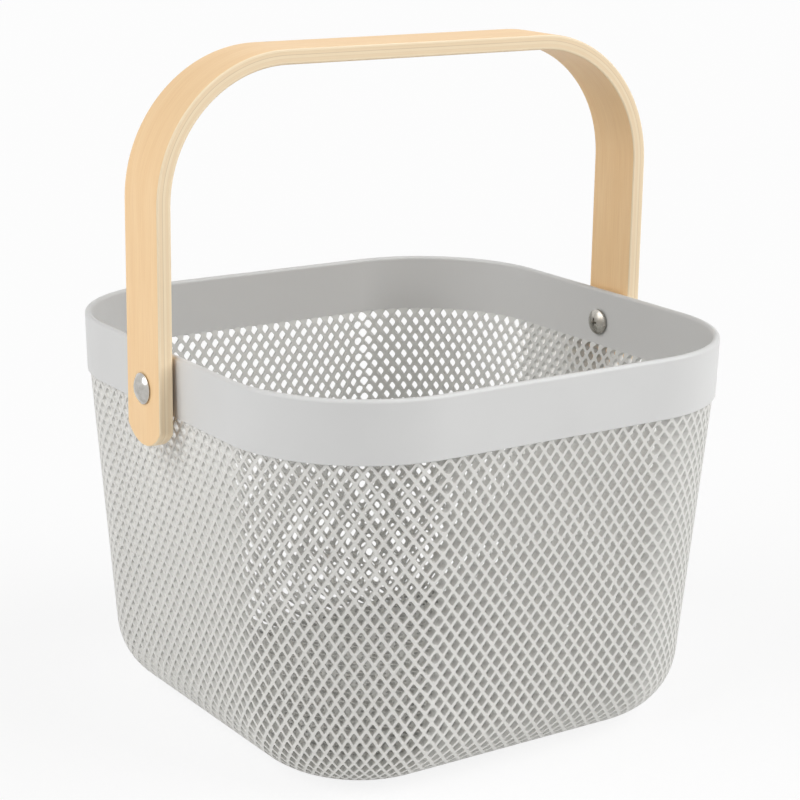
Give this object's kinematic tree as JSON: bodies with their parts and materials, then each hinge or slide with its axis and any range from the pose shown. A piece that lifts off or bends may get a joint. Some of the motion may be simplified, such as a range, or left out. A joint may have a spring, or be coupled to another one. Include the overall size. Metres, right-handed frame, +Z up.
{
  "type": "carrying basket",
  "caption": "Open square basket of diamond-perforated steel with a smooth rim band and a bent plywood bow handle that swings down to either side.",
  "frame": {"origin": "on the ground under the middle of the basket's flat base", "axes": "+Z up out of the open mouth, +X along the handle's pivot axis, +Y across it"},
  "size_m": [0.2736, 0.25, 0.3135],
  "materials": {
    "perforated_steel": "pale warm-grey satin powder coat",
    "band_steel": "pale grey satin powder coat",
    "plywood": "clear satin varnish on birch plywood",
    "polished_steel": "polished nickel-plated steel",
    "plated_steel": "dull zinc plate"
  },
  "bodies": {
    "basket": {"mesh_tub": "perforated_steel", "rim_band": "band_steel", "left_sleeve_nut": "polished_steel", "right_sleeve_nut": "polished_steel", "left_pivot_screw": "polished_steel", "right_pivot_screw": "polished_steel", "left_spacer_washer": "plated_steel", "right_spacer_washer": "plated_steel"},
    "handle": {"bow_handle": "plywood"}
  },
  "joints": [
    {"name": "handle_swing", "type": "hinge", "parent": "basket", "child": "handle", "pos_m": [0, 0, 0.168], "axis": [1, 0, 0], "range_deg": [-115, 115]}
  ]
}
